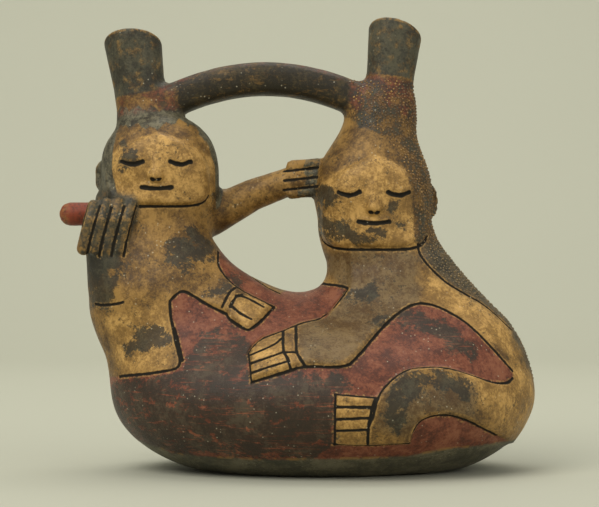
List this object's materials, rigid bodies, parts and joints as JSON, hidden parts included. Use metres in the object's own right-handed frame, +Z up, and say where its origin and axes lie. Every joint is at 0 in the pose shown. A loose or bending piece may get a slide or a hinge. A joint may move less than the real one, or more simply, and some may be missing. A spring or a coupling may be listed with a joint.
{
  "type": "double spout bottle",
  "caption": "Hollow fired clay bottle shaped as two seated figures over one low chamber, with a spout on each head and a strap bridge between the spouts",
  "frame": {"origin": "centre of the flat foot that the bottle stands on", "axes": "+Z up, the figures face -Y, +X towards the figure whose hand rests on the chamber"},
  "size_m": [0.1882, 0.1242, 0.1806],
  "materials": {
    "fired_clay": "burnished slip with worn paint"
  },
  "bodies": {
    "root": {"bottle": "fired_clay"}
  },
  "joints": []
}
